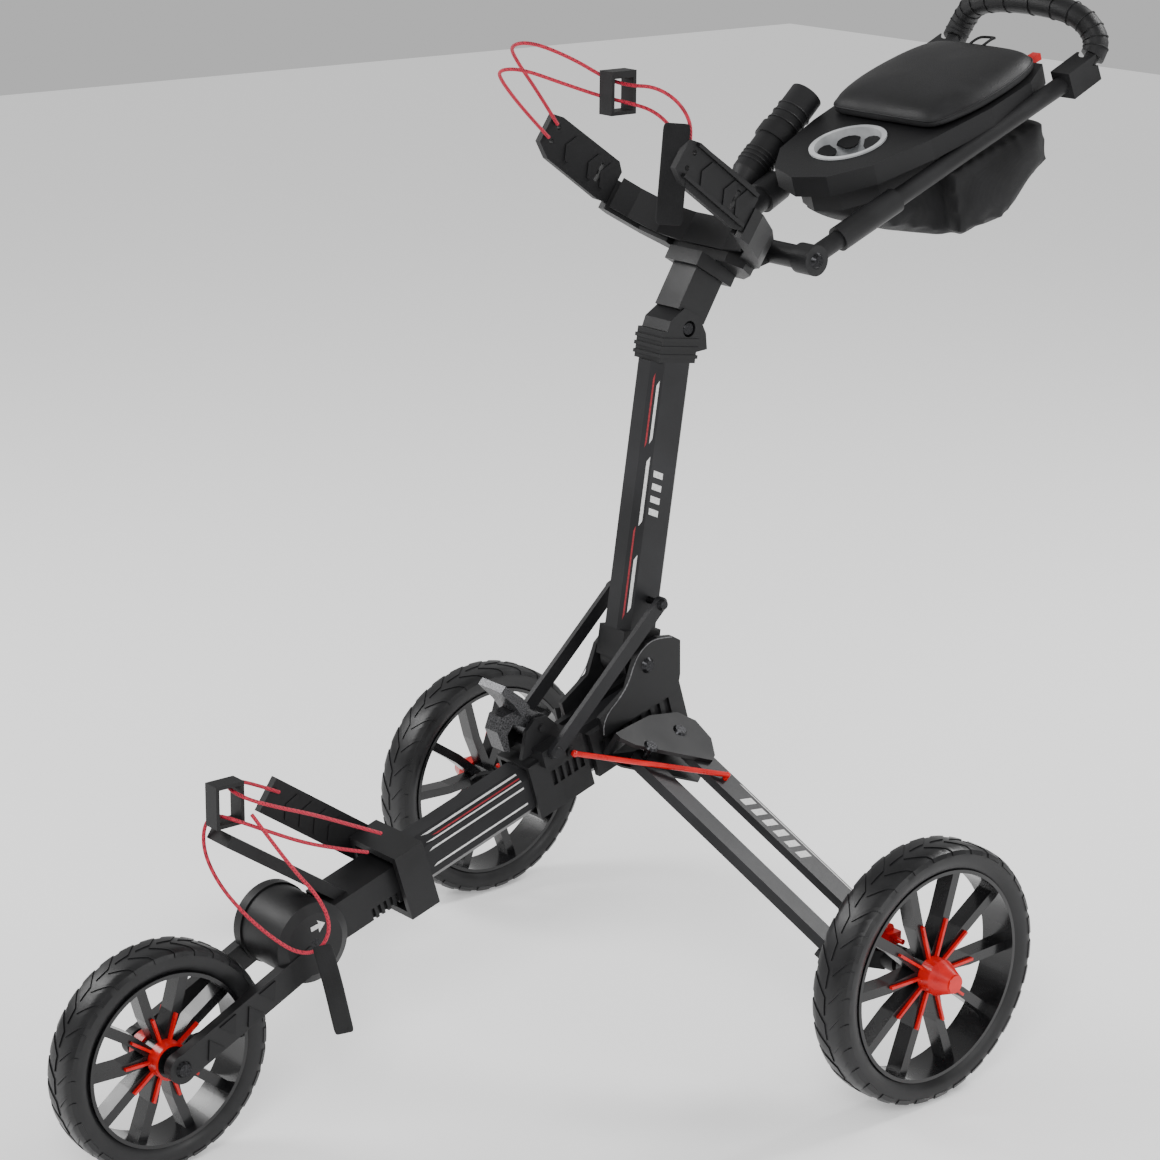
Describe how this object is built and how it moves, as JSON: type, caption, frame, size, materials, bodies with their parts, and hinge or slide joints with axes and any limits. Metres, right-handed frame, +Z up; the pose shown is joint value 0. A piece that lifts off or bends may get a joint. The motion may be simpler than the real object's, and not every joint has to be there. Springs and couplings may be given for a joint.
{
  "type": "three-wheel golf push cart",
  "caption": "Folding three-wheel golf push cart with bag cradle, lower bag bracket, console, storage pouch and padded loop handle; the bag itself is not on it.",
  "frame": {"origin": "on the floor, centred under the cart's length and width", "axes": "+Z up, -Y is forward (front wheel), +X is the side seen in the picture"},
  "size_m": [0.854, 1.369, 1.1208],
  "materials": {
    "tyre_rubber": "satin",
    "wheel_black": "gloss",
    "red_plastic": "gloss",
    "charcoal_aluminium": "satin",
    "casting_black": "matte",
    "soft_black": "matte",
    "black_steel": "gloss",
    "red_rod": "gloss",
    "silver": "satin",
    "handle_black": "satin",
    "grip_leather": "satin",
    "lid_leather": "matte",
    "liner_grey": "satin",
    "bag_fabric": "matte",
    "bungee_red": "matte"
  },
  "bodies": {
    "chassis": {"lower_tube": "charcoal_aluminium", "fold_hub": "casting_black", "side_plates": "casting_black", "chassis_bolts": "black_steel", "leg_mounts": "casting_black", "lower_bracket": "casting_black", "lower_arm": "soft_black", "bag_rest": "soft_black", "fork_drum": "casting_black", "lower_bungee_short": "bungee_red", "lower_bungee_long": "bungee_red", "lower_toggle": "soft_black"},
    "collar": {"slide_collar": "casting_black", "latch_yoke": "casting_black"},
    "latch": {"latch_lever": "silver"},
    "links": {"side_links": "charcoal_aluminium"},
    "rod_right": {"fold_rod_right": "red_rod"},
    "rod_left": {"fold_rod_left": "red_rod"},
    "rear_bar_right": {"rear_leg_bar_right": "charcoal_aluminium"},
    "rear_bar_left": {"rear_leg_bar_left": "charcoal_aluminium"},
    "front_bar_right": {"front_leg_bar_right": "charcoal_aluminium"},
    "front_bar_left": {"front_leg_bar_left": "charcoal_aluminium"},
    "bracket_right": {"wheel_bracket_right": "casting_black"},
    "bracket_left": {"wheel_bracket_left": "casting_black"},
    "brake_right": {"brake_block_right": "red_plastic"},
    "brake_left": {"brake_block_left": "red_plastic"},
    "wheel_right": {"rear_right_tyre": "tyre_rubber", "rear_right_rim": "wheel_black", "rear_right_hub_cap": "red_plastic"},
    "wheel_left": {"rear_left_tyre": "tyre_rubber", "rear_left_rim": "wheel_black", "rear_left_hub_cap": "red_plastic"},
    "fork": {"fork_arms": "casting_black", "fork_axle": "black_steel", "front_axle": "black_steel"},
    "wheel_front": {"front_tyre": "tyre_rubber", "front_rim": "wheel_black", "front_hub_caps": "red_plastic"},
    "post": {"post_tube": "charcoal_aluminium", "post_foot": "casting_black", "post_elbow": "casting_black", "post_bolts": "black_steel", "neck_tube": "casting_black", "cradle_base": "casting_black", "cradle_paddles": "soft_black", "cradle_strap": "soft_black", "handle_yoke": "casting_black", "handle_pin": "black_steel", "upper_bungee_high": "bungee_red", "upper_bungee_low": "bungee_red", "upper_toggle": "soft_black"},
    "handle": {"handle_arms": "handle_black", "handle_loop": "casting_black", "grip_cover": "grip_leather", "console_tray": "handle_black", "cup_liner": "liner_grey", "storage_bag": "bag_fabric", "umbrella_holder": "handle_black"},
    "lid": {"console_lid": "lid_leather"},
    "brake_lever": {"brake_lever": "red_plastic"}
  },
  "joints": [
    {"name": "post_fold", "type": "hinge", "parent": "chassis", "child": "post", "pos_m": [0, 0.05846, 0.42], "axis": [1, 0, 0], "range_deg": [0, 75]},
    {"name": "collar_slide", "type": "slide", "parent": "chassis", "child": "collar", "axis": [0, -0.9537, -0.3007], "range_m": [0, 0.0913]},
    {"name": "link_swing", "type": "hinge", "parent": "post", "child": "links", "pos_m": [0, 0.07196, 0.4896], "axis": [1, 0, 0], "range_deg": [-80, 0]},
    {"name": "latch_flip", "type": "hinge", "parent": "collar", "child": "latch", "pos_m": [0, -0.07954, 0.372], "axis": [1, 0, 0], "range_deg": [-35, 0]},
    {"name": "rear_bar_fold_right", "type": "hinge", "parent": "chassis", "child": "rear_bar_right", "pos_m": [0.06, 0.08846, 0.345], "axis": [-0.5273, -0.1036, -0.8434], "range_deg": [0, 68]},
    {"name": "front_bar_fold_right", "type": "hinge", "parent": "chassis", "child": "front_bar_right", "pos_m": [0.07446, 0.03295, 0.34278], "axis": [-0.5273, -0.1036, -0.8434], "range_deg": [0, 68]},
    {"name": "rod_swing_right", "type": "hinge", "parent": "rear_bar_right", "child": "rod_right", "pos_m": [0.11811, 0.1053, 0.30222], "axis": [-0.5273, -0.1036, -0.8434], "range_deg": [-82.9, 0]},
    {"name": "bracket_level_right", "type": "hinge", "parent": "rear_bar_right", "child": "bracket_right", "pos_m": [0.29699, 0.15644, 0.18849], "axis": [-0.5273, -0.1036, -0.8434], "range_deg": [-68, 0]},
    {"name": "brake_slide_right", "type": "slide", "parent": "bracket_right", "child": "brake_right", "axis": [1, 0, 0], "range_m": [0, 0.003]},
    {"name": "wheel_spin_right", "type": "hinge", "parent": "bracket_right", "child": "wheel_right", "pos_m": [0.38, 0.15646, 0.146], "axis": [1, 0, 0], "continuous": true},
    {"name": "rear_bar_fold_left", "type": "hinge", "parent": "chassis", "child": "rear_bar_left", "pos_m": [-0.06, 0.08846, 0.345], "axis": [-0.5273, 0.1036, 0.8434], "range_deg": [0, 68]},
    {"name": "front_bar_fold_left", "type": "hinge", "parent": "chassis", "child": "front_bar_left", "pos_m": [-0.07446, 0.03295, 0.34278], "axis": [-0.5273, 0.1036, 0.8434], "range_deg": [0, 68]},
    {"name": "rod_swing_left", "type": "hinge", "parent": "rear_bar_left", "child": "rod_left", "pos_m": [-0.11811, 0.1053, 0.30222], "axis": [-0.5273, 0.1036, 0.8434], "range_deg": [-82.9, 0]},
    {"name": "bracket_level_left", "type": "hinge", "parent": "rear_bar_left", "child": "bracket_left", "pos_m": [-0.29699, 0.15644, 0.18849], "axis": [-0.5273, 0.1036, 0.8434], "range_deg": [-68, 0]},
    {"name": "brake_slide_left", "type": "slide", "parent": "bracket_left", "child": "brake_left", "axis": [-1, 0, 0], "range_m": [0, 0.003]},
    {"name": "wheel_spin_left", "type": "hinge", "parent": "bracket_left", "child": "wheel_left", "pos_m": [-0.38, 0.15646, 0.146], "axis": [1, 0, 0], "continuous": true},
    {"name": "fork_fold", "type": "hinge", "parent": "chassis", "child": "fork", "pos_m": [0, -0.39954, 0.213], "axis": [1, 0, 0], "range_deg": [0, 90]},
    {"name": "front_wheel_spin", "type": "hinge", "parent": "fork", "child": "wheel_front", "pos_m": [0, -0.56354, 0.121], "axis": [1, 0, 0], "continuous": true},
    {"name": "handle_fold", "type": "hinge", "parent": "post", "child": "handle", "pos_m": [0, 0.24446, 0.86], "axis": [1, 0, 0], "range_deg": [-20, 30]},
    {"name": "lid_open", "type": "hinge", "parent": "handle", "child": "lid", "pos_m": [0, 0.42832, 0.9835], "axis": [1, 0, 0], "range_deg": [0, 70]},
    {"name": "brake_lever_turn", "type": "hinge", "parent": "handle", "child": "brake_lever", "pos_m": [0.043, 0.61999, 1.04209], "axis": [0, -0.3256, 0.9455], "range_deg": [-15, 15]}
  ],
  "couplings": [
    {"joint": "collar_slide", "follows": "post_fold", "m_per_rad": 0.069741},
    {"joint": "link_swing", "follows": "post_fold", "ratio": -1.056},
    {"joint": "rod_swing_right", "follows": "post_fold", "ratio": -1.0985},
    {"joint": "rod_swing_left", "follows": "post_fold", "ratio": -1.0985},
    {"joint": "rear_bar_fold_right", "follows": "post_fold", "ratio": 0.90666},
    {"joint": "front_bar_fold_right", "follows": "post_fold", "ratio": 0.90666},
    {"joint": "bracket_level_right", "follows": "post_fold", "ratio": -0.90666},
    {"joint": "rear_bar_fold_left", "follows": "post_fold", "ratio": 0.90666},
    {"joint": "front_bar_fold_left", "follows": "post_fold", "ratio": 0.90666},
    {"joint": "bracket_level_left", "follows": "post_fold", "ratio": -0.90666}
  ]
}
